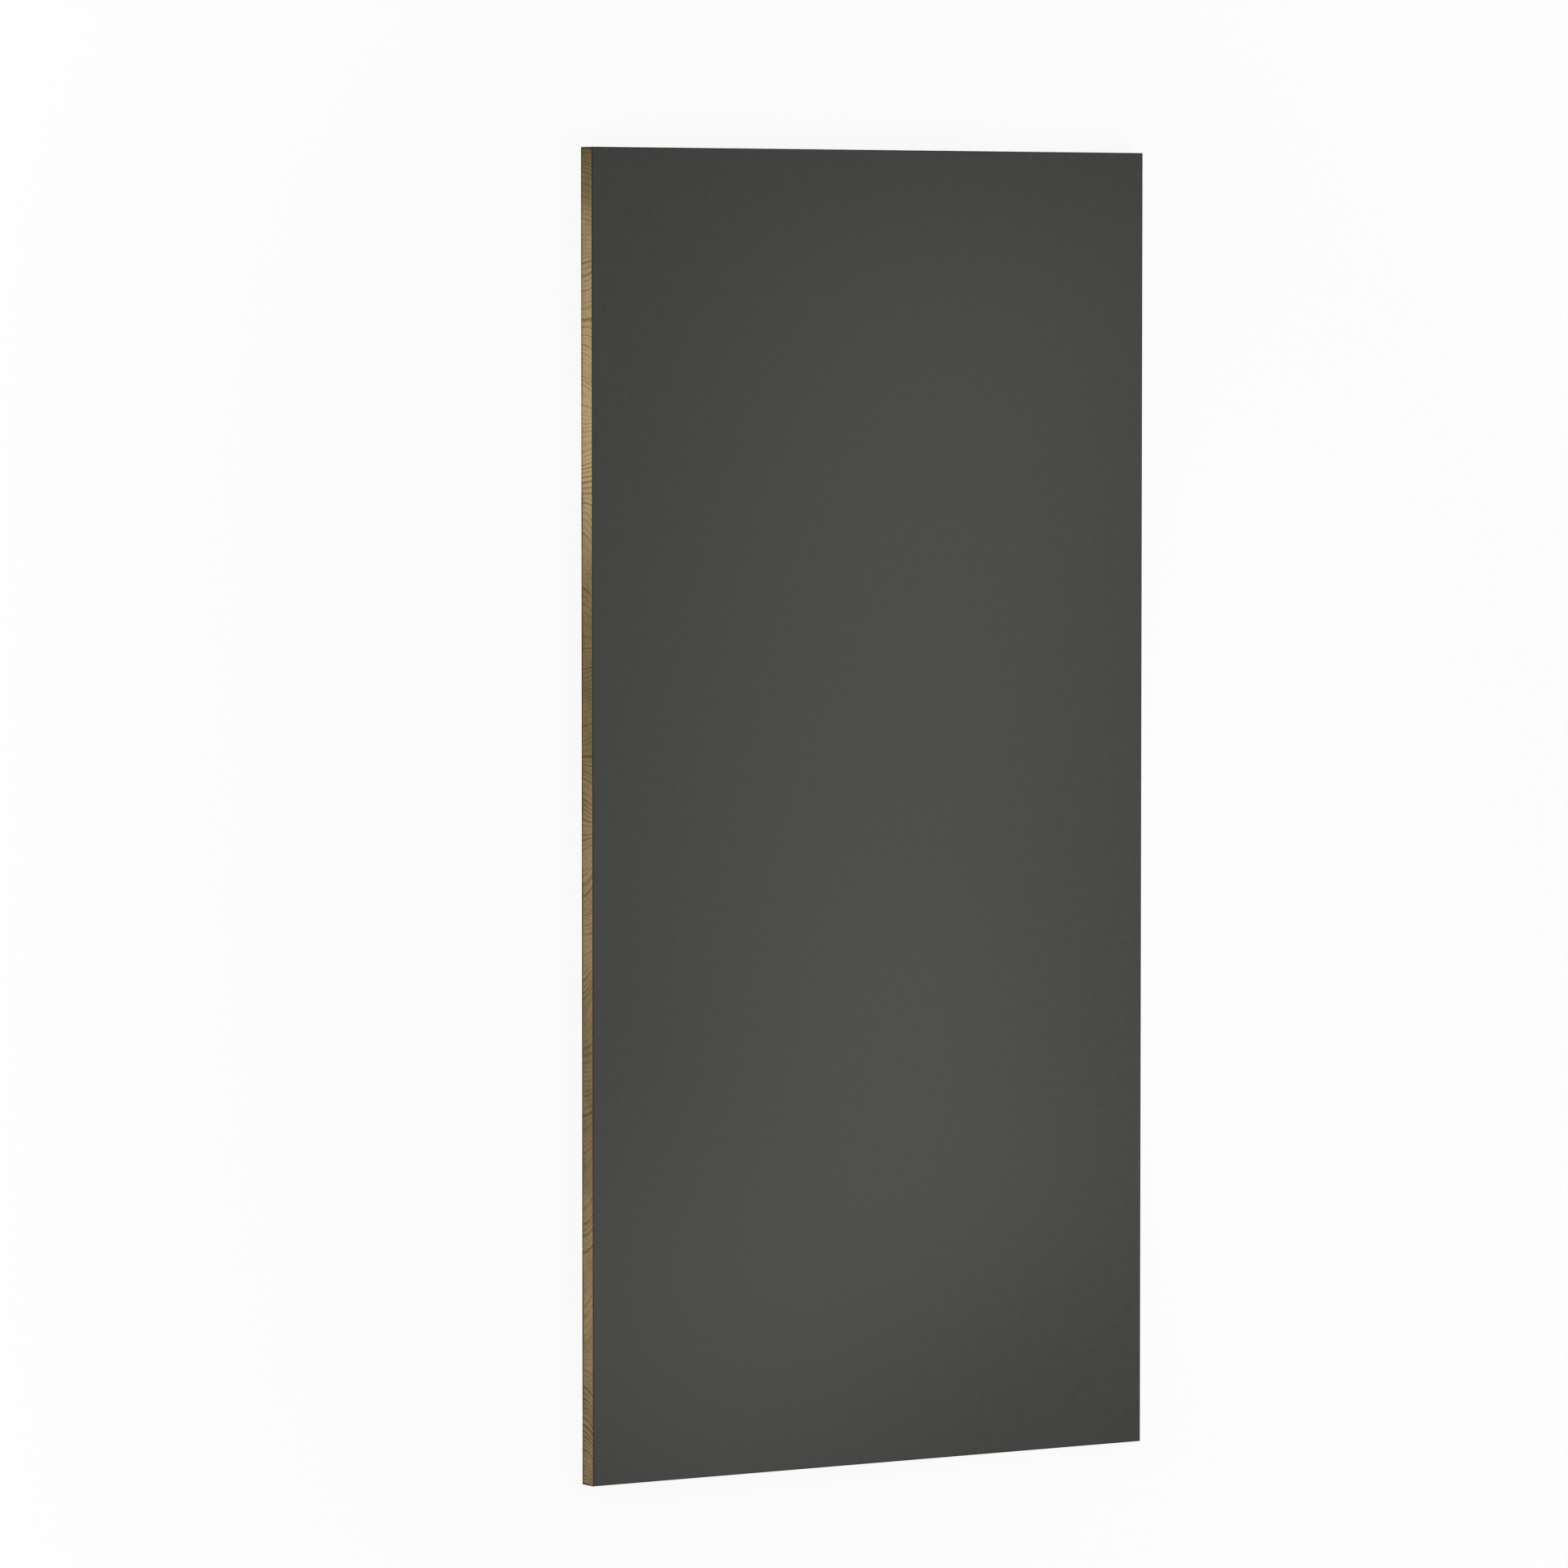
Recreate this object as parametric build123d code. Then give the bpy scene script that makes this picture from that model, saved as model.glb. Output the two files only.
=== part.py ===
from build123d import *

import os

# A decorative laminate sheet: a plain laminate bonded to the face of a full-size wood panel.
# It lies on its back with the decor side up, and all lengths are millimetres.
# The origin is the middle of the back face. +X runs across the width, +Y along the length
# and +Z up through the thickness.

# The whole sheet
SHEET_WIDTH = 1219.2  # 4 ft
SHEET_LENGTH = 2438.4  # 8 ft

# The wood core
CORE_THICKNESS = 37.0
CORE_ARRIS = 0.5  # flat that is sanded along its back edges

# The laminate
LAMINATE_THICKNESS = 1.0
TRIM_LAND = 0.2  # square-cut height left under the bevel that trims its decor side


def full_sheet(bottom, thickness):
    """A square-cut blank as wide and as long as the sheet, from the level z = bottom upwards."""
    outline = Rectangle(SHEET_WIDTH, SHEET_LENGTH)
    return extrude(Plane.XY.offset(bottom) * outline, thickness)


def make_wood_core():
    """The sawn panel: square where the laminate is bonded on, with sanded back edges."""
    panel = full_sheet(0, CORE_THICKNESS)
    back = panel.faces().sort_by(Axis.Z)[0]
    return chamfer(back.edges(), CORE_ARRIS)


def make_decorative_laminate():
    """The laminate on the panel's face: flush with its edges, and bevelled round the decor side."""
    laminate = full_sheet(CORE_THICKNESS, LAMINATE_THICKNESS)
    decor_side = laminate.faces().sort_by(Axis.Z)[-1]
    return chamfer(decor_side.edges(), LAMINATE_THICKNESS - TRIM_LAND)


wood_core = make_wood_core()
decorative_laminate = make_decorative_laminate()

os.makedirs("parts", exist_ok=True)
export_step(wood_core, "parts/wood_core.step")
export_step(decorative_laminate, "parts/decorative_laminate.step")
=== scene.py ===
# %% [markdown]
# # A decorative laminate sheet
# The real object is a wood panel, 4 ft by 8 ft, with a thin charcoal laminate bonded to its face.
# Its edges and back are left as bare sawn wood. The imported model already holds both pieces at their
# true size, so this lesson only dresses them: it makes a wood panel with real growth rings, a laminate
# with its dark trimmed rim, and then a plain studio with the camera of the photograph.

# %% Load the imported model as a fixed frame
import math

import bmesh
import bpy
import numpy as np
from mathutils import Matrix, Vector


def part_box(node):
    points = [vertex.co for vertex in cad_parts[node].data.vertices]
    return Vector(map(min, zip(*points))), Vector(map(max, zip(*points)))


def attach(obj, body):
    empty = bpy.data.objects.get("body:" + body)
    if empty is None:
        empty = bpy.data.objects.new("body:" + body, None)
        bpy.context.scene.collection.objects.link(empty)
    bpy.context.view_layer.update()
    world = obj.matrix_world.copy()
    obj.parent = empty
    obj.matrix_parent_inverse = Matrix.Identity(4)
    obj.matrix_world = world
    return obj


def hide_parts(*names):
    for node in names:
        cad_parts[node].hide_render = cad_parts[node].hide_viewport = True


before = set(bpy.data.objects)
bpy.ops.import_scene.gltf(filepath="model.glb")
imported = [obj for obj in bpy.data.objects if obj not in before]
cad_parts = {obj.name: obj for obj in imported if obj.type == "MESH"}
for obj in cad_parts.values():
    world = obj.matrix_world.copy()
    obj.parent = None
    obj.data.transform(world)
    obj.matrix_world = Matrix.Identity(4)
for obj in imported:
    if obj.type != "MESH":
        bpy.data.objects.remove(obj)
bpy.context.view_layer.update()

MM = 0.001  # the scene is in metres
core_low, core_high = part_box("wood_core")
laminate_low, laminate_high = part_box("decorative_laminate")

# %% [markdown]
# ## Small edges, read from the frame
# The panel's back edges are sanded to a narrow flat, and the laminate's rim is trimmed to a bevel.
# Typing those sizes again would let the two models drift apart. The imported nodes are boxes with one
# side drawn in, so measuring how far it is drawn in tells how wide the flat or the bevel is.

# %% Measure the sanded back edge and the trimmed rim
TOUCH = 0.01 * MM  # a point this near to a plane lies on it


def drawn_in(node, level):
    """How far a node's outline at this height stays inside its full width."""
    points = [corner.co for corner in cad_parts[node].data.vertices]
    widest = max(point.x for point in points)
    return widest - max(point.x for point in points if abs(point.z - level) < TOUCH)


core_arris = drawn_in("wood_core", core_low.z)
trim_bevel = drawn_in("decorative_laminate", laminate_high.z)
print("sanded back edge, mm:", round(core_arris / MM, 2))
print("trimmed bevel, mm:", round(trim_bevel / MM, 2))

# %% [markdown]
# ## Helpers for wiring nodes
# Geometry Nodes and materials are both node trees, and many nodes work in either. They could be wired
# by hand in Blender's editor, but a script can be read and run again. A few short functions keep the
# wiring readable: each adds one node, fills its inputs with a value or a link, and hands back what
# comes out of it.


# %% Wire one node at a time
def wire(tree, value, socket):
    """Fills a socket with a plain value, or links it to the output of another node."""
    if isinstance(value, bpy.types.NodeSocket):
        tree.links.new(value, socket)
    else:
        socket.default_value = value


def add(tree, kind, inputs=None, **settings):
    """Adds a node with these settings, and fills the inputs that are named or numbered."""
    node = tree.nodes.new(kind)
    for name, setting in settings.items():
        setattr(node, name, setting)
    for name, value in (inputs or {}).items():
        wire(tree, value, node.inputs[name])
    return node


def calc(tree, operation, *values):
    """The answer of one Math node."""
    return add(tree, "ShaderNodeMath", dict(enumerate(values)), operation=operation).outputs[0]


def axes(tree, vector):
    """The x, y and z of a vector."""
    return add(tree, "ShaderNodeSeparateXYZ", {0: vector}).outputs


print("helpers that wire:", [helper.__name__ for helper in (wire, add, calc, axes)])

# %% Shapes of change: a smooth rise, a slow sway and a cloud of noise
NOISE_MIDDLE = 0.5  # noise runs from 0 to 1 and keeps near this
SWAY_GAIN = 4.0  # stretches it to reach about -1 and 1


def rise(tree, value, start, end, low=0.0, high=1.0):
    """Goes smoothly from low to high while the value goes from start to end."""
    limits = {"Value": value, "From Min": start, "From Max": end, "To Min": low, "To Max": high}
    return add(tree, "ShaderNodeMapRange", limits, interpolation_type="SMOOTHSTEP").outputs[0]


def sway(tree, along, span, seed, detail=1.0):
    """Swings slowly between about -1 and 1 as a length goes by, a span at a time."""
    step = calc(tree, "ADD", calc(tree, "DIVIDE", along, span), seed)
    inputs = {"W": step, "Scale": 1.0, "Detail": detail}
    noise = add(tree, "ShaderNodeTexNoise", inputs, noise_dimensions="1D").outputs[0]
    return calc(tree, "MULTIPLY_ADD", noise, SWAY_GAIN, -SWAY_GAIN * NOISE_MIDDLE)


def cloud(tree, place, size, seed, detail=2.0):
    """Noise at a place, with features of this size in metres along each axis."""
    scaled = add(tree, "ShaderNodeVectorMath", {0: place, 1: size}, operation="DIVIDE").outputs[0]
    inputs = {"Vector": scaled, "W": seed, "Scale": 1.0, "Detail": detail}
    return add(tree, "ShaderNodeTexNoise", inputs, noise_dimensions="4D").outputs[0]


print("helpers that change smoothly:", [helper.__name__ for helper in (rise, sway, cloud)])

# %% A curve through given stops
LOWEST_ANSWER = -1.0  # a curve starts out with answers from 0 to 1 only
CURVE_MIDDLE = (0.5, 0.5)  # a new point waits here until it is moved to its stop


def drawn_curve(tree, value, stops):
    """Reads a curve through stops of (value, answer), and stays level beyond its ends."""
    node = add(tree, "ShaderNodeFloatCurve", {"Value": value})
    node.mapping.clip_min_y = LOWEST_ANSWER
    node.mapping.extend = "HORIZONTAL"
    points = node.mapping.curves[0].points
    while len(points) < len(stops):
        points.new(*CURVE_MIDDLE)
    for point, stop in zip(points, stops):
        point.location = stop
    node.mapping.update()
    return node.outputs[0]


print("helper that draws a curve:", drawn_curve.__name__)

# %% [markdown]
# ## The rule of the growth rings
# On the long edge of the sheet thin brown lines cross the thickness: growth rings, cut square to the
# fibres. They lean one way and then the other, bow a little, and stand close together in some places
# and far apart in others. An image of wood could only be stuck on; a rule in space gives every face
# its right figure, end grain on the long edges and long grain on the ends and the back.
# The rule turns a place in the wood into a length across the rings. How they lean is a curve, drawn
# after the photograph, and noise lets them stray and crowd.

# %% How the rings lie
RING_PITCH = 9.0 * MM  # mean distance from one ring to the next
WOOD_SEED = 7.0
RING_LEANS = (  # share of the length from the near end, and how far a ring leans for each unit of height
    (0.0, 0.1), (0.06, 0.45), (0.13, -0.8), (0.17, -0.4), (0.22, -0.6), (0.31, -0.2),
    (0.37, -0.9), (0.41, -0.2), (0.45, -0.6), (0.515, 0.25), (0.57, -0.25), (0.705, 0.55),
    (0.76, -0.15), (0.835, 0.28), (0.9, -0.25), (0.945, 0.18), (1.0, 0.0),
)
RING_ARCH = 24.0  # how much more it leans towards the face than towards the back, in 1/m
RING_WANDER = 14 * MM  # how far a ring strays along the fibres
WANDER_SIZE = (700 * MM, 90 * MM, 60 * MM)
CROWDING = 17 * MM  # how far rings are moved together and apart
CROWDING_SPAN = 120 * MM
CROWDING_SEED = 80.0  # added to the seed of the wood
core_middle = (core_low.z + core_high.z) / 2
core_length = core_high.y - core_low.y


def across_rings(tree, place, seed):
    """How far along the sheet a place lies, counted square to the rings."""
    _, along, z = axes(tree, place)
    height = calc(tree, "SUBTRACT", z, core_middle)
    share = calc(tree, "DIVIDE", calc(tree, "SUBTRACT", along, core_low.y), core_length)
    lean = drawn_curve(tree, share, RING_LEANS)
    slope = calc(tree, "MULTIPLY", lean, calc(tree, "MULTIPLY_ADD", height, RING_ARCH, 1.0))
    stray = calc(tree, "SUBTRACT", cloud(tree, place, WANDER_SIZE, seed), NOISE_MIDDLE)
    across = calc(tree, "MULTIPLY_ADD", slope, height, along)
    across = calc(tree, "MULTIPLY_ADD", stray, RING_WANDER, across)
    crowd = sway(tree, across, CROWDING_SPAN, calc(tree, "ADD", seed, CROWDING_SEED))
    return calc(tree, "MULTIPLY_ADD", crowd, CROWDING, across)


print("rings along the sheet, about:", round(core_length / RING_PITCH))

# %% [markdown]
# A ring starts pale and ends in a narrow dark line of late wood. Some years leave a bold line and some
# a faint one, and bold ones come in groups. Drawing each line by hand would take hundreds of strokes,
# so a random number for each ring and a slow sway along the sheet set how bold it is.
# The relief and the colour of the wood both follow this one function.

# %% How a ring shows
LATE_WOOD_SHARES = (0.36, 0.8, 0.91, 1.0)  # of a ring: the line begins, is full, fades, has ended
FAINTEST_RING_SHARE = 0.28
BOLDEST_LUCK = 1.15  # past 1, so that no ring gets quite its full strength by luck
BOLD_SPAN = 130 * MM  # bold rings come in groups about this far apart
BOLD_LIMITS = (-0.7, 0.5)  # of the sway between groups
LEAST_BOLD_SHARE = 0.56
BOLD_SEED = 40.0  # added to the seed of the wood


def growth_rings(tree, place, pitch, seed):
    """Wires the rule at a place in the wood. Gives the late wood, from 0 to 1, and the part of a ring."""
    across = across_rings(tree, place, seed)
    count = calc(tree, "DIVIDE", across, pitch)
    part = calc(tree, "FRACT", count)
    begins, full, fades, ends = LATE_WOOD_SHARES
    line = calc(tree, "MULTIPLY", rise(tree, part, begins, full), rise(tree, part, fades, ends, 1.0, 0.0))
    number = calc(tree, "ADD", calc(tree, "FLOOR", count), seed)
    luck = add(tree, "ShaderNodeTexWhiteNoise", {"W": number}, noise_dimensions="1D").outputs["Value"]
    own_strength = rise(tree, luck, 0.0, BOLDEST_LUCK, FAINTEST_RING_SHARE, 1.0)
    bold = sway(tree, across, BOLD_SPAN, calc(tree, "ADD", seed, BOLD_SEED))
    strength = calc(tree, "MULTIPLY", own_strength, rise(tree, bold, *BOLD_LIMITS, LEAST_BOLD_SHARE, 1.0))
    return calc(tree, "MULTIPLY", line, strength), part


print("parts of a ring where its line begins, is full, fades and has ended:", LATE_WOOD_SHARES)

# %% [markdown]
# ## The wood panel's mesh
# The panel is a slab whose walls need many narrow columns, because the rings are only millimetres
# apart, but few rows. A plain cube with subdivision would waste most of its faces on the hidden face
# under the laminate. Here the walls are a band of columns wound round the outline, the back is a
# grid that meets them, and the hidden face is closed by long strips.

# %% Wind the outline of the panel
COLUMN = 1.5 * MM  # width of a column along the length
WALL_ROWS = 8
BACK_COLUMNS = 24  # across the width, along the fibres, where little changes
LONG_EDGE_PAGES, END_PAGES = 3, 2  # each wall is cut into this many strips on the map

half = (core_high - core_low) / 2
length_columns = LONG_EDGE_PAGES * round(core_length / COLUMN / LONG_EDGE_PAGES)
side_steps = (BACK_COLUMNS, length_columns, BACK_COLUMNS, length_columns)


def outline(half_x, half_y):
    """Points round a rectangle, from its near left corner, with the columns of each side."""
    corners = np.array([(-1, -1), (1, -1), (1, 1), (-1, 1), (-1, -1)]) * (half_x, half_y)
    sides = [np.linspace(corners[n], corners[n + 1], side_steps[n], endpoint=False) for n in range(4)]
    return np.concatenate(sides)


levels = np.concatenate([[core_low.z], np.linspace(core_low.z + core_arris, core_high.z, WALL_ROWS + 1)])
full_outline = outline(half.x, half.y)
back_outline = outline(half.x - core_arris, half.y - core_arris)
rings_of_points = [
    np.column_stack([back_outline if level == 0 else full_outline, np.full(len(full_outline), height)])
    for level, height in enumerate(levels)
]
print("points round the panel:", len(full_outline), " columns along its length:", length_columns)

# %% [markdown]
# The export lays pictures of the finish on a square map. A long wall is over 60 times as long as it is
# high, so on a map made by itself it would be a few pixels high. The panel brings its own map: each wall
# is cut into strips that lie one above the other, and the back takes the other half of the square.

# %% Share out the map
MAP_NAME = "OFBake"
MAP_RIM_SHARE = 0.004  # of the map's width, left empty at both ends of a strip
PAGE_RIM_SHARE = 0.05  # of a strip's height, left empty below and above a wall
BACK_SHARE = 0.5  # of the map's height that the back takes
pages = (END_PAGES, LONG_EDGE_PAGES, END_PAGES, LONG_EDGE_PAGES)
page_height = BACK_SHARE / sum(pages)
row_heights = np.hypot(np.diff(levels), [core_arris] + [0.0] * WALL_ROWS)
wall_shares = np.concatenate([[0.0], np.cumsum(row_heights) / row_heights.sum()])


def within(share, rim_share=MAP_RIM_SHARE):
    """A share of a strip, kept off the strip's rim."""
    return rim_share + share * (1 - 2 * rim_share)


print("strips on the map:", sum(pages), " height of each, as a share:", round(page_height, 3))


# %% Faces of the walls
def wall_faces():
    """Quads round the walls, each with its corners and its four places on the map."""
    points, count = np.concatenate(rings_of_points), len(full_outline)
    faces, places, column, page = [], [], 0, 0
    for steps, strips in zip(side_steps, pages):
        per_strip = steps // strips
        for step in range(steps):
            base = page + step // per_strip
            u = [within((step % per_strip + n) / per_strip) for n in (0, 1)]
            after = (column + 1) % count
            for row in range(WALL_ROWS + 1):
                shares = wall_shares[row:row + 2]
                v = [page_height * (base + within(share, PAGE_RIM_SHARE)) for share in shares]
                low, high = row * count, (row + 1) * count
                faces.append((low + column, low + after, high + after, high + column))
                places.append(((u[0], v[0]), (u[1], v[0]), (u[1], v[1]), (u[0], v[1])))
            column += 1
        page += strips
    return points, faces, places


wall_points, walls, wall_places = wall_faces()
print("wall faces:", len(walls))

# %% Faces of the back
xs = np.linspace(-1, 1, BACK_COLUMNS + 1)
ys = np.linspace(-1, 1, length_columns + 1)


def back_faces(first):
    """A grid on the panel's back, facing down. first is the number of its first point."""
    grid = np.stack(np.meshgrid(xs * (half.x - core_arris), ys * (half.y - core_arris)), -1).reshape(-1, 2)
    points = np.column_stack([grid, np.full(len(grid), core_low.z)])
    row = BACK_COLUMNS + 1
    spots = [(within((y + 1) / 2), BACK_SHARE + BACK_SHARE * within((x + 1) / 2)) for y in ys for x in xs]
    faces, places = [], []
    for j in range(length_columns):
        for i in range(BACK_COLUMNS):
            corner = j * row + i
            loop = (corner, corner + row, corner + row + 1, corner + 1)
            faces.append(tuple(first + n for n in loop))
            places.append(tuple(spots[n] for n in loop))
    return points, faces, places


back_points, backs, back_places = back_faces(len(wall_points))
print("back faces:", len(backs))


# %% Faces that the laminate hides
def glued_faces():
    """Strips from long edge to long edge on the face under the laminate, all at one place of the map."""
    count, top = len(full_outline), (len(levels) - 1) * len(full_outline)
    right, far = BACK_COLUMNS, BACK_COLUMNS + length_columns
    faces = []
    for step in range(length_columns):
        left_near = (count - step) % count
        loop = [left_near, right + step, right + step + 1, count - step - 1]
        # The first and the last strip take in all the points of an end.
        if step == 0:
            loop = list(range(right + 2)) + [count - 1]
        if step == length_columns - 1:
            loop = [left_near, right + step] + list(range(far, far + BACK_COLUMNS + 1))
        faces.append(tuple(top + n for n in loop))
    spot = (MAP_RIM_SHARE, BACK_SHARE)
    return faces, [tuple(spot for _ in face) for face in faces]


glued, glued_places = glued_faces()
print("hidden faces:", len(glued))

# %% Join them into one closed mesh
MERGE_GAP = 0.001 * MM


def mesh_from(name, points, faces, places):
    """A mesh with a map, and with points that lie on each other merged."""
    mesh = bpy.data.meshes.new(name)
    mesh.from_pydata([tuple(p) for p in points], [], faces)
    spots = mesh.uv_layers.new(name=MAP_NAME)
    spots.uv.foreach_set("vector", np.array([at for face in places for at in face], np.float32).ravel())
    work = bmesh.new()
    work.from_mesh(mesh)
    bmesh.ops.remove_doubles(work, verts=work.verts, dist=MERGE_GAP)
    open_edges = sum(not edge.is_manifold for edge in work.edges)
    volume = round(work.calc_volume(signed=True), 5)
    print(name, "faces:", len(work.faces), " volume, m3:", volume, " open edges:", open_edges)
    work.to_mesh(mesh)
    work.free()
    return mesh


plain_panel = mesh_from(
    "plain_panel",
    np.concatenate([wall_points, back_points]),
    walls + backs + glued,
    wall_places + back_places + glued_places,
)

# %% [markdown]
# ## Relief of the growth rings, with Geometry Nodes
# Late wood is harder than early wood, so after sawing and sanding it stands a little proud. A bump in
# the material would only fake that. This tree sinks the soft wood between the rings by a tenth of a
# millimetre, by the same rule as the colour, and never pushes anything outwards, so the panel stays
# within its true size. The points along the panel's edges keep their place, which keeps the edges true.

# %% Points that may sink
RELIEF_DEPTH = 0.1 * MM
RELIEF_NAME = "relief_share"  # an attribute: 1 inside a flat face, 0 along its edges
RIM_REACH = 1.5 * core_arris  # a point this near to two faces is on an edge
spots = np.array([corner.co for corner in plain_panel.vertices])
gaps = np.column_stack([
    half.x - np.abs(spots[:, 0]),
    half.y - np.abs(spots[:, 1]),
    spots[:, 2] - core_low.z,
])
on_one_face = (gaps < TOUCH).sum(axis=1) == 1
on_edge = (gaps < RIM_REACH).sum(axis=1) > 1
at_top = core_high.z - spots[:, 2] < TOUCH
may_sink = on_one_face & ~on_edge & ~at_top
relief_shares = plain_panel.attributes.new(RELIEF_NAME, "FLOAT", "POINT")
relief_shares.data.foreach_set("value", may_sink.astype(np.float32))
print("points that follow the rings:", int(may_sink.sum()), "of", len(spots))

# %% Build the relief tree
FACING_UP = 0.5  # a face whose normal rises more than this is the hidden one


def relief_tree():
    """A Geometry Nodes tree that sinks the soft wood between the rings, then sets both materials."""
    tree = bpy.data.node_groups.new("growth_ring_relief", "GeometryNodeTree")
    face = tree.interface
    face.new_socket("Panel", in_out="INPUT", socket_type="NodeSocketGeometry")
    for name in ("Relief Depth", "Ring Pitch", "Seed"):
        face.new_socket(name, in_out="INPUT", socket_type="NodeSocketFloat")
    for name in ("Wood", "Glue"):
        face.new_socket(name, in_out="INPUT", socket_type="NodeSocketMaterial")
    face.new_socket("Panel", in_out="OUTPUT", socket_type="NodeSocketGeometry")
    given = tree.nodes.new("NodeGroupInput").outputs
    place = tree.nodes.new("GeometryNodeInputPosition").outputs[0]
    late, _ = growth_rings(tree, place, given["Ring Pitch"], given["Seed"])
    share = add(tree, "GeometryNodeInputNamedAttribute", {"Name": RELIEF_NAME}, data_type="FLOAT")
    soft = calc(tree, "MULTIPLY", calc(tree, "SUBTRACT", 1.0, late), share.outputs[0])
    depth = calc(tree, "MULTIPLY", calc(tree, "MULTIPLY", soft, given["Relief Depth"]), -1.0)
    normal = tree.nodes.new("GeometryNodeInputNormal").outputs[0]
    sink = add(tree, "ShaderNodeVectorMath", {0: normal, "Scale": depth}, operation="SCALE").outputs[0]
    sunk = add(tree, "GeometryNodeSetPosition", {"Geometry": given["Panel"], "Offset": sink}).outputs[0]
    whole = add(tree, "GeometryNodeRealizeInstances", {0: sunk}).outputs[0]
    upward = {"A": axes(tree, normal)[2], "B": FACING_UP}
    hidden = add(tree, "FunctionNodeCompare", upward, operation="GREATER_THAN").outputs[0]
    bare = add(tree, "GeometryNodeSetMaterial", {"Geometry": whole, "Material": given["Wood"]}).outputs[0]
    glued_on = {"Geometry": bare, "Selection": hidden, "Material": given["Glue"]}
    dressed = add(tree, "GeometryNodeSetMaterial", glued_on).outputs[0]
    tree.links.new(dressed, tree.nodes.new("NodeGroupOutput").inputs[0])
    return tree


relief = relief_tree()
print("relief tree inputs:", [socket.name for socket in relief.interface.items_tree])

# %% [markdown]
# ## Bare wood
# The photograph shows a tan wood that is pale in one stretch and browner in others, with thin dark
# lines and a faint shift from olive to pink. A photograph of wood wrapped round the panel would show
# its seams, so the colour is worked out from the place in the wood, one layer in each cell below.
# The first layer is the tone: heartwood turns into sapwood by a curve along the sheet, drawn
# after the photograph, and noise lets the tone stray across the width and breaks it into patches.

# %% Tone along the sheet
HEARTWOOD = (0.142, 0.101, 0.048, 1)
SAPWOOD = (0.534, 0.406, 0.230, 1)
TONE_SHARES = (  # share of the length from the near end, and how much sapwood shows there
    (0.0, 0.2), (0.05, 0.31), (0.09, 0.32), (0.14, 0.4), (0.28, 0.17), (0.46, 0.43), (0.6, 0.1),
    (0.7, 0.41), (0.79, 0.9), (0.86, 0.73), (0.91, 0.66), (0.97, 0.2), (1.0, 0.0),
)
BANDS = ((900 * MM, 420 * MM, 300 * MM), 31.0)  # a noise: its size along each axis, and its seed
BAND_STRAY = 900 * MM  # how far tone bands stray on their way across the back
PATCHES = ((500 * MM, 60 * MM, 40 * MM), 3.0)
PATCH_STRENGTH = 0.5


def wood_tone(tree, place):
    """How much sapwood shows at a place in the wood."""
    x, along, _ = axes(tree, place)
    from_left = calc(tree, "DIVIDE", calc(tree, "SUBTRACT", x, core_low.x), 2 * half.x)
    stray = calc(tree, "MULTIPLY_ADD", cloud(tree, place, *BANDS), BAND_STRAY, -BAND_STRAY * NOISE_MIDDLE)
    band = calc(tree, "MULTIPLY_ADD", stray, from_left, along)
    from_near_end = calc(tree, "DIVIDE", calc(tree, "SUBTRACT", band, core_low.y), core_length)
    drift = drawn_curve(tree, from_near_end, TONE_SHARES)
    patches = calc(tree, "SUBTRACT", cloud(tree, place, *PATCHES), NOISE_MIDDLE)
    return calc(tree, "MULTIPLY_ADD", patches, PATCH_STRENGTH, drift)


palest_share, _ = max(TONE_SHARES, key=lambda stop: stop[1])
print("the wood is palest, m from the near end:", round(palest_share * core_length, 2))

# %% [markdown]
# The second layer is the rings. Late wood is darker than early wood in both tones, and early wood
# carries the olive and pink tints. Pores are short dark specks, densest where a ring starts.

# %% Rings, tints and pores
HEARTWOOD_LATE = (0.049, 0.029, 0.006, 1)
SAPWOOD_LATE = (0.247, 0.156, 0.050, 1)
OLIVE_TINT, PINK_TINT = (0.97, 1.013, 0.94, 1), (1.045, 0.98, 0.99, 1)  # early wood is multiplied by them
TINTS = ((300 * MM, 34 * MM, 18 * MM), 29.0)
TINT_LIMITS = (0.35, 0.65)  # of the noise: all olive below, all pink above
PORES = ((60 * MM, 1.0 * MM, 1.0 * MM), 23.0)
PORE_LIMITS = (0.58, 0.68)
PORE_REACH_SHARE = 0.45  # of a ring: pores thin out up to here
PORE_SHARES = (0.55, 0.12)  # how dark they are where a ring starts, and past that reach


def mix(tree, share, first, second, blend="MIX"):
    """One colour turned into another by a share."""
    node = add(tree, "ShaderNodeMix", {0: share, 6: first, 7: second}, data_type="RGBA", blend_type=blend)
    return node.outputs[2]


def ringed_wood(tree, place, late, part):
    """The colour of the wood with its rings, tints and pores."""
    tone = wood_tone(tree, place)
    early_wood = mix(tree, tone, HEARTWOOD, SAPWOOD)
    late_wood = mix(tree, tone, HEARTWOOD_LATE, SAPWOOD_LATE)
    tint = mix(tree, rise(tree, cloud(tree, place, *TINTS), *TINT_LIMITS), OLIVE_TINT, PINK_TINT)
    ringed = mix(tree, late, mix(tree, 1.0, early_wood, tint, "MULTIPLY"), late_wood)
    specks = rise(tree, cloud(tree, place, *PORES), *PORE_LIMITS)
    pores = calc(tree, "MULTIPLY", specks, rise(tree, part, 0.0, PORE_REACH_SHARE, *PORE_SHARES))
    return mix(tree, pores, ringed, HEARTWOOD_LATE)


print("green of late sapwood, as a share of early:", round(SAPWOOD_LATE[1] / SAPWOOD[1], 2))
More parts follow.
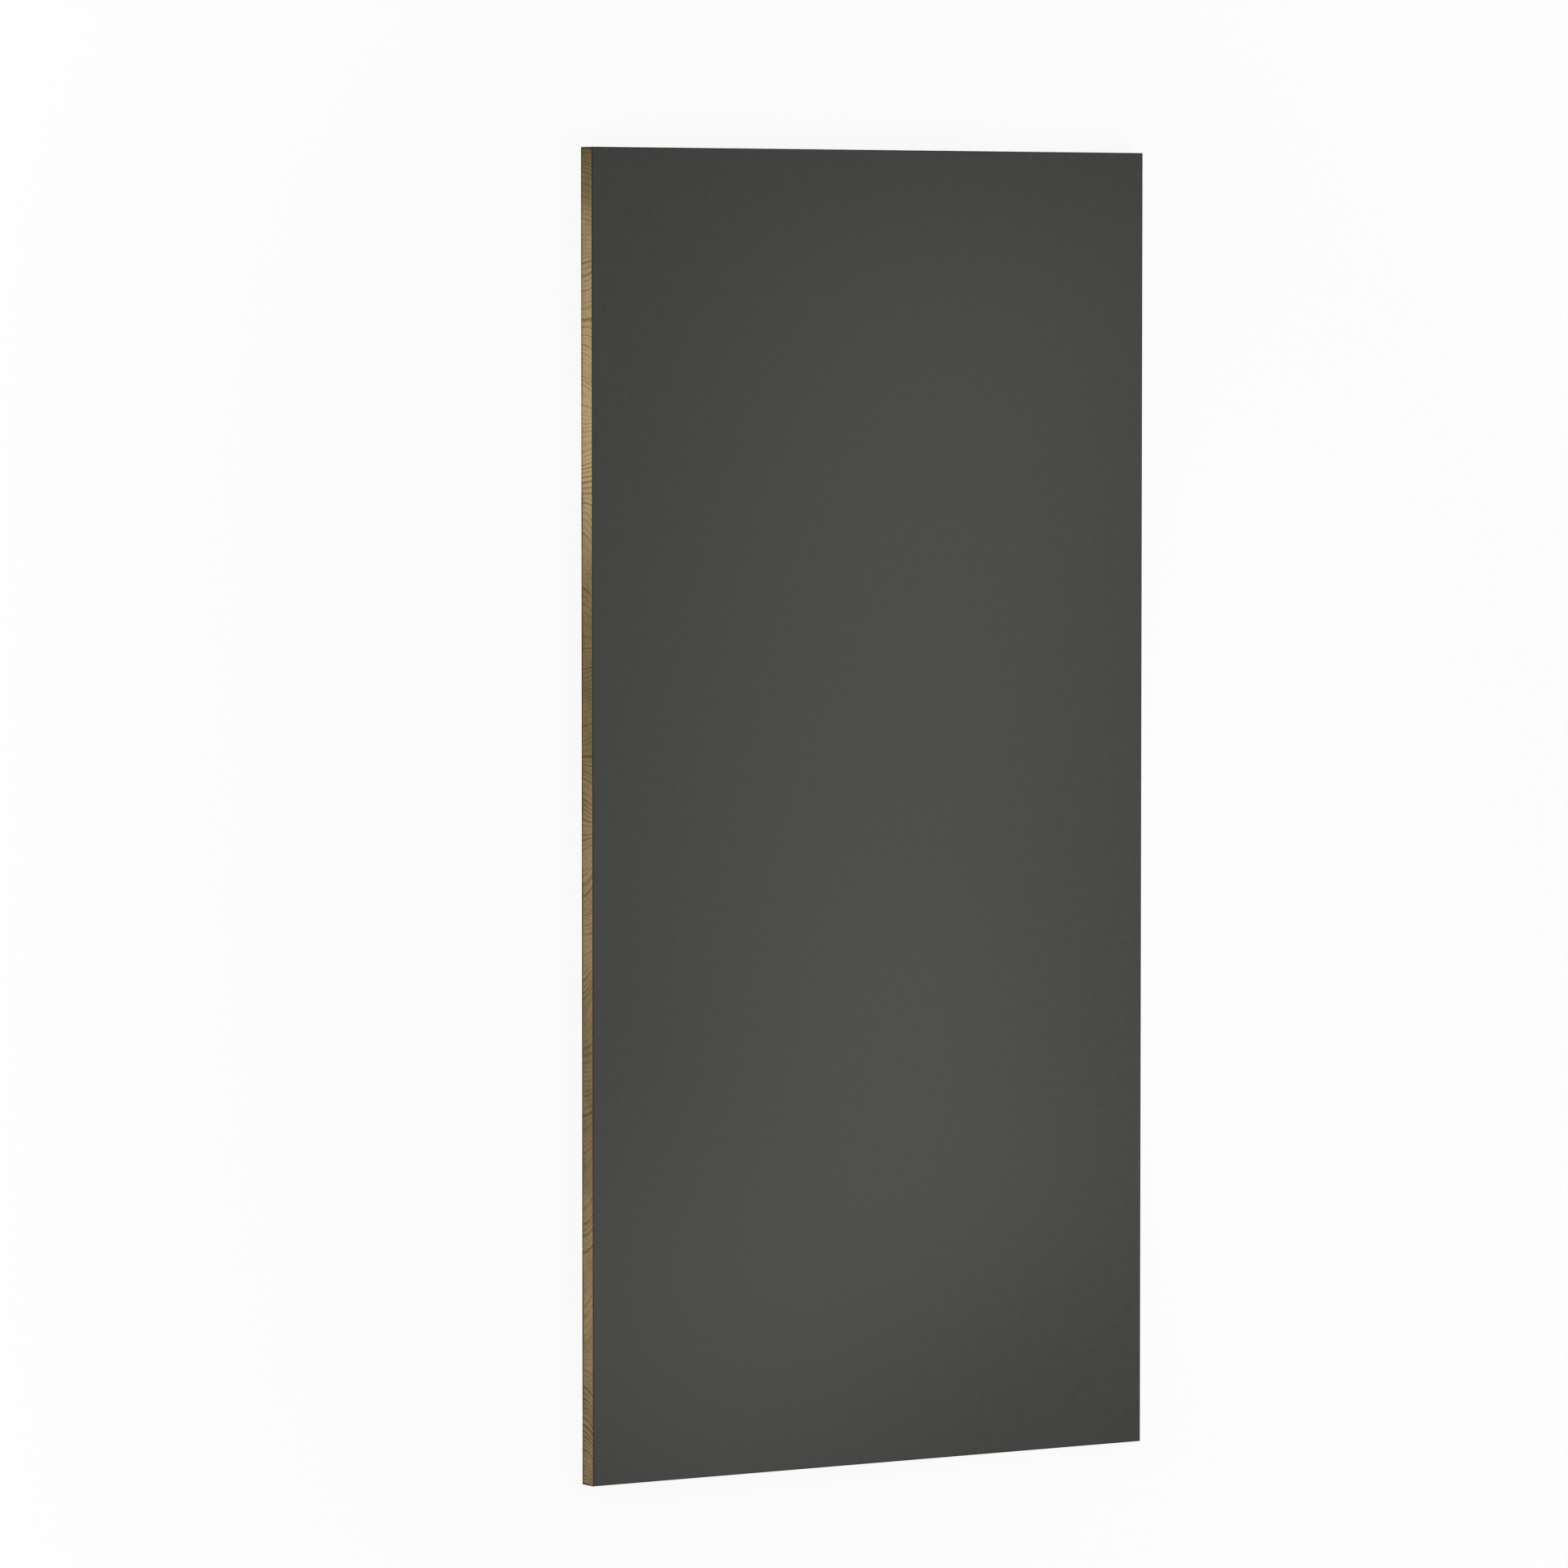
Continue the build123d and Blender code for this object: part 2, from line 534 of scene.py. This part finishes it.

# %% [markdown]
# The third layer is a ragged dark band: painted shade along the foot of the walls, where the back meets
# the floor, and wear up the upright corners, where a panel is knocked as it is handled and stacked.
# It could be painted on, but the distance to the nearest edge gives the band on all four walls alike.

# %% Painted shade at the foot of the walls, and wear up the corners
# a dark brown, painted as shade along the foot of the walls where they meet the floor, and as wear up the
# corners
SHADE_AND_WEAR_WOOD = (0.055, 0.030, 0.016, 1)
SHADE_AND_WEAR_HEIGHTS = (3.0 * MM, 6.0 * MM)  # the painted shade and wear are full up to here, and have ended here
RAGS = ((60 * MM, 45 * MM, 30 * MM), 41.0, 4.0)  # a noise: its size, its seed and its detail
RAGGED = 4.0 * MM  # how far its border strays with them
STRETCHES = ((200 * MM, 200 * MM, 200 * MM), 43.0)
STRETCH_LIMITS = (0.4, 0.6)
SHADE_AND_WEAR_SHARES = (0.5, 0.95)  # how much it covers the wood in faint and in strong stretches
CORNER_NARROWING = 2.0  # it is this many times narrower along the upright corners
WALL_LIMITS = (0.5, 0.9)  # of how much a face looks up or down: a wall below, the back above


def on_wall(tree):
    """1 on the panel's upright walls, and 0 on its back."""
    normal = tree.nodes.new("ShaderNodeNewGeometry").outputs["True Normal"]
    return rise(tree, calc(tree, "ABSOLUTE", axes(tree, normal)[2]), *WALL_LIMITS, 1.0, 0.0)


def edge_shade_and_wear(tree, place):
    """How much painted shade and wear darken the wood: shade along the back edges, wear up the upright
    corners of the walls.
    """
    x, along, height = axes(tree, place)
    from_side = calc(tree, "SUBTRACT", half.x, calc(tree, "ABSOLUTE", x))
    from_end = calc(tree, "SUBTRACT", half.y, calc(tree, "ABSOLUTE", along))
    from_corner = calc(tree, "MULTIPLY", calc(tree, "MAXIMUM", from_side, from_end), CORNER_NARROWING)
    edge = calc(tree, "MINIMUM", calc(tree, "SUBTRACT", height, core_low.z), from_corner)
    rags = calc(tree, "SUBTRACT", cloud(tree, place, *RAGS), NOISE_MIDDLE)
    ragged_edge = calc(tree, "MULTIPLY_ADD", rags, RAGGED, edge)
    strength = rise(tree, cloud(tree, place, *STRETCHES), *STRETCH_LIMITS, *SHADE_AND_WEAR_SHARES)
    # painted shade along the foot of the walls and wear up the corners, full at the edge and gone a few
    # millimetres in
    shade_and_wear = rise(tree, ragged_edge, *SHADE_AND_WEAR_HEIGHTS, strength, 0.0)
    return calc(tree, "MULTIPLY", shade_and_wear, on_wall(tree))


print("bruised band, mm:", [round(height / MM, 1) for height in SHADE_AND_WEAR_HEIGHTS])

# %% [markdown]
# The last layer is the sawn surface: fine fibres drawn out across the width, broader flecks, and the
# wave that a saw blade leaves. The same fibres and rings set the roughness and a fine bump, which is
# cheaper than more faces and can't be told from them at this size.

# %% Fibres, saw marks and the finished wood
FIBRES = ((70 * MM, 1.1 * MM, 1.1 * MM), 5.0, 3.0)
FIBRE_LIMITS, FIBRE_SHADES = (0.25, 0.75), (0.82, 1.14)
FLECKS = ((90 * MM, 3.2 * MM, 4.5 * MM), 37.0)
FLECK_LIMITS, FLECK_SHADES = (0.3, 0.7), (0.90, 1.10)
ROUGH_LIMITS, WOOD_ROUGHNESS = (0.2, 0.8), (0.78, 0.62)
LATE_ROUGHNESS = -0.1  # late wood is this much smoother
SAW_PITCH = 4.2 * MM
SAW_HEIGHT, LATE_HEIGHT = 0.05, 0.6  # in the bump, beside fibres of height 1
WOOD_BUMP, WOOD_BUMP_STRENGTH = 0.25 * MM, 0.5
WOOD_SPECULAR = 0.1


def new_finish(name):
    """A material, its tree, its shader and the place in the piece that its patterns read."""
    material = bpy.data.materials.new(name)
    material.use_nodes = True
    tree = material.node_tree
    place = tree.nodes.new("ShaderNodeTexCoord").outputs["Object"]
    return material, tree, tree.nodes["Principled BSDF"], place


def add_bump(tree, shader, height, distance, strength):
    """Gives a shader a fine bump."""
    bump = add(tree, "ShaderNodeBump", {"Height": height, "Distance": distance, "Strength": strength})
    wire(tree, bump.outputs[0], shader.inputs["Normal"])


def make_bare_wood():
    """Sawn wood: rings, painted shade along the back edges and wear up the corners, shaded by fibres and
    flecks.
    """
    material, tree, shader, place = new_finish("bare_wood")
    late, part = growth_rings(tree, place, RING_PITCH, WOOD_SEED)
    # painted shade along the foot of the walls, and wear up the corners, laid over the rings
    shaded_and_worn = mix(tree, edge_shade_and_wear(tree, place), ringed_wood(tree, place, late, part), SHADE_AND_WEAR_WOOD)
    fibres = cloud(tree, place, *FIBRES)
    flecks = rise(tree, cloud(tree, place, *FLECKS), *FLECK_LIMITS, *FLECK_SHADES)
    shade = calc(tree, "MULTIPLY", rise(tree, fibres, *FIBRE_LIMITS, *FIBRE_SHADES), flecks)
    wire(tree, mix(tree, 1.0, shaded_and_worn, shade, "MULTIPLY"), shader.inputs["Base Color"])
    rough = rise(tree, fibres, *ROUGH_LIMITS, *WOOD_ROUGHNESS)
    wire(tree, calc(tree, "MULTIPLY_ADD", late, LATE_ROUGHNESS, rough), shader.inputs["Roughness"])
    saw = calc(tree, "SINE", calc(tree, "MULTIPLY", axes(tree, place)[1], 2 * math.pi / SAW_PITCH))
    surface = calc(tree, "MULTIPLY_ADD", late, LATE_HEIGHT, fibres)
    surface = calc(tree, "MULTIPLY_ADD", saw, SAW_HEIGHT, surface)
    add_bump(tree, shader, surface, WOOD_BUMP, WOOD_BUMP_STRENGTH)
    shader.inputs["Specular IOR Level"].default_value = WOOD_SPECULAR
    return material


bare_wood = make_bare_wood()
print("wood nodes:", len(bare_wood.node_tree.nodes))

# %% [markdown]
# ## Dried glue
# The laminate is stuck down with a glue that dries to a thin, pale film. Nothing shows it, so it could
# be left out, but the hidden face would then pass for bare wood. One colour with a slight change in
# roughness is enough.

# %% Make the glue
GLUE = (0.42, 0.36, 0.26, 1)
GLUE_DROPS = ((4 * MM, 4 * MM, 4 * MM), 2.0)
GLUE_LIMITS, GLUE_ROUGHNESS = (0.2, 0.8), (0.35, 0.6)


def make_glue():
    """The dried glue under the laminate, which nothing shows."""
    material, tree, shader, place = new_finish("dried_glue")
    shader.inputs["Base Color"].default_value = GLUE
    drops = rise(tree, cloud(tree, place, *GLUE_DROPS), *GLUE_LIMITS, *GLUE_ROUGHNESS)
    wire(tree, drops, shader.inputs["Roughness"])
    return material


dried_glue = make_glue()
print("glue nodes:", len(dried_glue.node_tree.nodes))

# %% [markdown]
# ## The finished panel
# Geometry Nodes run as a modifier, which could stay on the panel. The export wants plain meshes, so
# the tree runs once on a carrier object, its result is kept as a new mesh, and the carrier is removed.


# %% Run the relief tree and keep its mesh
def finished(plain, tree, settings):
    """The plain mesh after its Geometry Nodes, as a mesh with no modifier."""
    carrier = bpy.data.objects.new("carrier", plain)
    bpy.context.scene.collection.objects.link(carrier)
    modifier = carrier.modifiers.new("relief", "NODES")
    modifier.node_group = tree
    for socket in tree.interface.items_tree:
        if socket.name in settings:
            modifier[socket.identifier] = settings[socket.name]
    mesh = bpy.data.meshes.new_from_object(carrier.evaluated_get(bpy.context.evaluated_depsgraph_get()))
    bpy.data.objects.remove(carrier)
    return mesh


settings = {
    "Relief Depth": RELIEF_DEPTH,
    "Ring Pitch": RING_PITCH,
    "Seed": WOOD_SEED,
    "Wood": bare_wood,
    "Glue": dried_glue,
}
panel_mesh = finished(plain_panel, relief, settings)
print("wood panel triangles:", sum(len(face.vertices) - 2 for face in panel_mesh.polygons))

# %% Put the panel in its place
SHARP_ANGLE = 20  # degrees: a steeper edge stays sharp, the relief is shaded smooth


def place_piece(name, mesh, node):
    """A finished piece at the origin, standing for its CAD node."""
    mesh.name = name
    piece = bpy.data.objects.new(name, mesh)
    bpy.context.scene.collection.objects.link(piece)
    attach(piece, "root")
    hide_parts(node)
    return piece


panel_mesh.polygons.foreach_set("use_smooth", [True] * len(panel_mesh.polygons))
panel_mesh.set_sharp_from_angle(angle=math.radians(SHARP_ANGLE))
wood_panel = place_piece("wood_panel", panel_mesh, "wood_core")
print("wood panel, m:", [round(side, 4) for side in wood_panel.dimensions])

# %% [markdown]
# ## The laminate
# A laminate is paper pressed hard in resin: a thin printed sheet over dark brown layers. Trimmed flush
# to the panel, it gets a bevel that cuts through the layers, so a thin dark line runs round the face.
# A cube with a bevel modifier would round all its edges. The shape is only three outlines joined by
# quads, so it is written out, and the rim gets its own broad strips on the map.

# %% Three outlines
CORNERS = np.array([(-1, -1), (1, -1), (1, 1), (-1, 1)], float)
reach = (laminate_high - laminate_low) / 2
outline_heights = (laminate_low.z, laminate_high.z - trim_bevel, laminate_high.z)
outline_insets = (0.0, 0.0, trim_bevel)
laminate_points = np.concatenate([
    np.column_stack([CORNERS * (reach.x - inset, reach.y - inset), np.full(len(CORNERS), height)])
    for height, inset in zip(outline_heights, outline_insets)
])
print("laminate points:", len(laminate_points))

# %% Make the laminate's mesh
STRIP_SHARE = 0.018  # of the map's height, for each bevel and each cut edge
STRIP_RIM_SHARE = 0.15  # of a strip's height, left empty below and above
STRIPS = 10  # below the decor face: four bevels, four cut edges, the glued back and a gap
GLUED_SHARE = 0.2  # of the map's width, for the back that nothing shows


def strip_places(number, width_share=1.0):
    """The four places of a strip on the map, counted from below."""
    low, high = (STRIP_SHARE * (number + within(share, STRIP_RIM_SHARE)) for share in (0, 1))
    left, right = within(0), within(width_share)
    return ((left, low), (right, low), (right, high), (left, high))


def laminate_faces():
    """The decor face first, then bevels, cut edges and the glued back, each with its places on the map."""
    decor_low = STRIPS * STRIP_SHARE
    decor_places = [(within(u), decor_low + (1 - decor_low) * within(v)) for v, u in (CORNERS + 1) / 2]
    count = len(CORNERS)
    back, land, decor = (range(level * count, (level + 1) * count) for level in range(3))
    faces, places = [tuple(decor)], [tuple(decor_places)]
    for low, high in ((land, decor), (back, land)):
        for side in range(count):
            after = (side + 1) % count
            places.append(strip_places(len(faces) - 1))
            faces.append((low[side], low[after], high[after], high[side]))
    places.append(strip_places(len(faces) - 1, GLUED_SHARE))
    faces.append(tuple(reversed(back)))
    return faces, places


laminate_mesh = mesh_from("laminate_sheet", laminate_points, *laminate_faces())

# %% [markdown]
# ## Charcoal decor
# The decor face is a plain warm charcoal with a matte, slightly suede finish. A single flat colour
# looks like plastic film, so faint mottling, a soft change in roughness and a very fine bump break
# it up. They stay so weak that the face still reads as plain. A thin dark line is painted along the face's
# border, next to the bevel, and follows the distance to the rim.

# %% Make the charcoal decor
CHARCOAL_DEEP, CHARCOAL_PALE = (0.0380, 0.0380, 0.0342, 1), (0.0460, 0.0460, 0.0420, 1)
RIM_DARK = (0.006, 0.0045, 0.0035, 1)
DARK_BORDER_REACH = (0.2 * MM, 1.4 * MM)  # from the bevel inwards, the painted dark line is full, then has faded
MOTTLE = ((18 * MM, 18 * MM, 18 * MM), 11.0, 4.0)
GRAIN = ((0.9 * MM, 0.9 * MM, 0.9 * MM), 13.0, 3.0)
GRAIN_SHARE = 0.6  # of the speckle, and mottling is the rest
SPECKLE_LIMITS = (0.35, 0.65)
SUEDE_LIMITS, DECOR_ROUGHNESS = (0.3, 0.7), (0.31, 0.38)
DECOR_BUMP, DECOR_BUMP_STRENGTH = 0.08 * MM, 0.6
LAMINATE_SPECULAR = 0.2


def make_charcoal():
    """Matte charcoal decor paper in resin."""
    material, tree, shader, place = new_finish("charcoal_decor")
    grain = cloud(tree, place, *GRAIN)
    mottle = calc(tree, "MULTIPLY", cloud(tree, place, *MOTTLE), 1 - GRAIN_SHARE)
    speckle = calc(tree, "MULTIPLY_ADD", grain, GRAIN_SHARE, mottle)
    plain = mix(tree, rise(tree, speckle, *SPECKLE_LIMITS), CHARCOAL_DEEP, CHARCOAL_PALE)
    x, y, _ = axes(tree, place)
    from_side = calc(tree, "SUBTRACT", laminate_high.x - trim_bevel, calc(tree, "ABSOLUTE", x))
    from_end = calc(tree, "SUBTRACT", laminate_high.y - trim_bevel, calc(tree, "ABSOLUTE", y))
    # a thin dark line painted along the border of the face, next to the bevel
    dark_border = rise(tree, calc(tree, "MINIMUM", from_side, from_end), *DARK_BORDER_REACH, 1.0, 0.0)
    wire(tree, mix(tree, dark_border, plain, RIM_DARK), shader.inputs["Base Color"])
    wire(tree, rise(tree, speckle, *SUEDE_LIMITS, *DECOR_ROUGHNESS), shader.inputs["Roughness"])
    shader.inputs["Specular IOR Level"].default_value = LAMINATE_SPECULAR
    add_bump(tree, shader, grain, DECOR_BUMP, DECOR_BUMP_STRENGTH)
    return material


charcoal_decor = make_charcoal()
print("charcoal nodes:", len(charcoal_decor.node_tree.nodes))

# %% [markdown]
# ## The trimmed rim
# The cut through a laminate shows its layers of brown paper as hair-fine lines. They are far too thin
# to model, so a wave that follows the height draws them, and scuffs from handling break them up.

# %% Make the rim
RIM_BROWN = (0.020, 0.0135, 0.009, 1)
PAPER_LAYER = 0.16 * MM
LAYER_STRENGTH = 0.12
SCUFFS = ((9 * MM, 9 * MM, 0.4 * MM), 19.0)
LAYER_LIMITS = (0.3, 0.75)
SCUFF_LIMITS, RIM_ROUGHNESS = (0.3, 0.7), (0.5, 0.72)
RIM_BUMP, RIM_BUMP_STRENGTH = 0.05 * MM, 0.4


def make_rim():
    """The cut through the laminate's brown paper layers."""
    material, tree, shader, place = new_finish("trimmed_rim")
    layers = calc(tree, "SINE", calc(tree, "MULTIPLY", axes(tree, place)[2], 2 * math.pi / PAPER_LAYER))
    scuffs = cloud(tree, place, *SCUFFS)
    share = rise(tree, calc(tree, "MULTIPLY_ADD", layers, LAYER_STRENGTH, scuffs), *LAYER_LIMITS)
    wire(tree, mix(tree, share, RIM_DARK, RIM_BROWN), shader.inputs["Base Color"])
    wire(tree, rise(tree, scuffs, *SCUFF_LIMITS, *RIM_ROUGHNESS), shader.inputs["Roughness"])
    shader.inputs["Specular IOR Level"].default_value = LAMINATE_SPECULAR
    add_bump(tree, shader, scuffs, RIM_BUMP, RIM_BUMP_STRENGTH)
    return material


trimmed_rim = make_rim()
print("rim nodes:", len(trimmed_rim.node_tree.nodes))

# %% Put the laminate in its place
for finish in (charcoal_decor, trimmed_rim):
    laminate_mesh.materials.append(finish)
laminate_mesh.polygons.foreach_set("material_index", [0] + [1] * (len(laminate_mesh.polygons) - 1))
laminate_sheet = place_piece("laminate_sheet", laminate_mesh, "decorative_laminate")
print("laminate finishes:", [material.name for material in laminate_sheet.data.materials])

# %% [markdown]
# ## A plain studio
# The photograph has a white ground and almost no shadow. A floor lit until it is white would glare on
# the sheet as well. Here a pale floor lies under an even sky, and seen by the camera most of its white
# is its own, so it stays white while the part that is left still carries the sheet's shadow.

# %% Floor
FLOOR_SIZE = 160.0
FLOOR_COLOUR = (0.9, 0.9, 0.9, 1)
WHITE = (1, 1, 1, 1)
OWN_WHITE_SHARES = (0.9, 1.0)  # near the sheet and far from it
OWN_WHITE_REACH = (1.0, 2.8)  # distances where the change begins and ends


def seen_directly(tree):
    """1 for a ray from the camera, or one that a gloss or a glass passes on."""
    rays = tree.nodes.new("ShaderNodeLightPath").outputs
    passed_on = calc(tree, "MAXIMUM", rays["Is Glossy Ray"], rays["Is Transmission Ray"])
    return calc(tree, "MAXIMUM", rays["Is Camera Ray"], passed_on)


def make_floor_finish():
    """Pale paper that is nearly white to the camera and keeps the shadow."""
    material = bpy.data.materials.new("studio_floor")
    material.use_nodes = True
    tree = material.node_tree
    tree.nodes.clear()
    paper = add(tree, "ShaderNodeBsdfDiffuse", {"Color": FLOOR_COLOUR}).outputs[0]
    white = add(tree, "ShaderNodeEmission", {"Color": WHITE, "Strength": 1.0}).outputs[0]
    place = tree.nodes.new("ShaderNodeTexCoord").outputs["Object"]
    distance = add(tree, "ShaderNodeVectorMath", {0: place}, operation="LENGTH").outputs["Value"]
    own_white = rise(tree, distance, *OWN_WHITE_REACH, *OWN_WHITE_SHARES)
    share = calc(tree, "MULTIPLY", seen_directly(tree), own_white)
    both = add(tree, "ShaderNodeMixShader", {0: share, 1: paper, 2: white}).outputs[0]
    tree.links.new(both, tree.nodes.new("ShaderNodeOutputMaterial").inputs["Surface"])
    return material


floor_mesh = bpy.data.meshes.new("studio_floor")
floor_mesh.from_pydata([(x, y, 0) for x, y in CORNERS * FLOOR_SIZE / 2], [], [(0, 1, 2, 3)])
floor_mesh.materials.append(make_floor_finish())
floor = bpy.data.objects.new("studio_floor", floor_mesh)
bpy.context.scene.collection.objects.link(floor)
print("floor, m:", [round(side, 1) for side in floor.dimensions])

# %% Sky
SKY_STRENGTH = 0.5  # as a light, and 1 where it is seen


def make_sky():
    """An even sky: white to the camera, softer as a light."""
    world = bpy.data.worlds.new("studio_sky")
    world.use_nodes = True
    tree = world.node_tree
    strength = calc(tree, "MULTIPLY_ADD", seen_directly(tree), 1.0 - SKY_STRENGTH, SKY_STRENGTH)
    tree.nodes["Background"].inputs["Color"].default_value = WHITE
    wire(tree, strength, tree.nodes["Background"].inputs["Strength"])
    return world


bpy.context.scene.world = make_sky()
print("sky nodes:", len(bpy.context.scene.world.node_tree.nodes))

# %% [markdown]
# ## Soft lights
# In the photograph the face is brightest right of its middle and falls off towards its corners, as
# under large soft boxes. One big lamp would light it evenly and a small one would leave a hot spot.
# Two boxes over the right side, tilted towards the sheet, give that slow change, and a fill farther
# off on the left lights the wood edge without a glare on the face.

# %% Hang the soft boxes
SOFT_LIGHTS = (  # name, place, tilt and turn in degrees, width, length, watts, and whether gloss shows it
    ("side_box", (0.97, 0.32, 1.5), 34, -9, 0.87, 1.7, 8.1, True),
    ("end_box", (0.77, -0.97, 1.5), 34, -56, 0.71, 1.25, 6.8, True),
    ("left_fill", (-3.2, 0.0, 0.75), -80, 0, 1.2, 2.5, 32.0, False),
)


def make_light(name, place, tilt, turn, width, length, watts, in_gloss):
    """A soft box that the camera doesn't see. It shines down, or sideways when it is tilted."""
    lamp = bpy.data.lights.new(name, "AREA")
    lamp.shape = "RECTANGLE"
    lamp.size = width
    lamp.size_y = length
    lamp.energy = watts
    light = bpy.data.objects.new(name, lamp)
    light.location = place
    light.rotation_euler = (0, math.radians(tilt), math.radians(turn))
    light.visible_camera = False
    light.visible_glossy = in_gloss
    bpy.context.scene.collection.objects.link(light)
    return light


lights = [make_light(*values) for values in SOFT_LIGHTS]
print("soft lights:", [light.name for light in lights])

# %% [markdown]
# ## The photograph's camera
# In the photograph the sheet stands upright. Here it lies flat, as a sheet does when nothing holds it,
# so the camera looks down on it from the same side and shows the same outline. Its place and lens
# could be set by eye, but the sheet's width and length are known, so the four corners of the face in
# the picture fix the distance, the turn and the lens.

# %% Place the camera
CAMERA_PLACE = (-9.1766, 0.9212, 13.9206)
CAMERA_TURN = (-3.0083, -32.9007, 0.0)  # degrees
LENS, SENSOR = 206.416, 36.0  # millimetres
FARTHEST_SEEN = 300.0

camera_data = bpy.data.cameras.new("photo_camera")
camera_data.lens = LENS
camera_data.sensor_width = SENSOR
camera_data.clip_end = FARTHEST_SEEN
camera = bpy.data.objects.new("photo_camera", camera_data)
camera.location = CAMERA_PLACE
camera.rotation_euler = [math.radians(angle) for angle in CAMERA_TURN]
bpy.context.scene.collection.objects.link(camera)
bpy.context.scene.camera = camera
bpy.context.scene.view_settings.view_transform = "Standard"
print("camera to the middle of the sheet, m:", round(camera.location.length, 2))
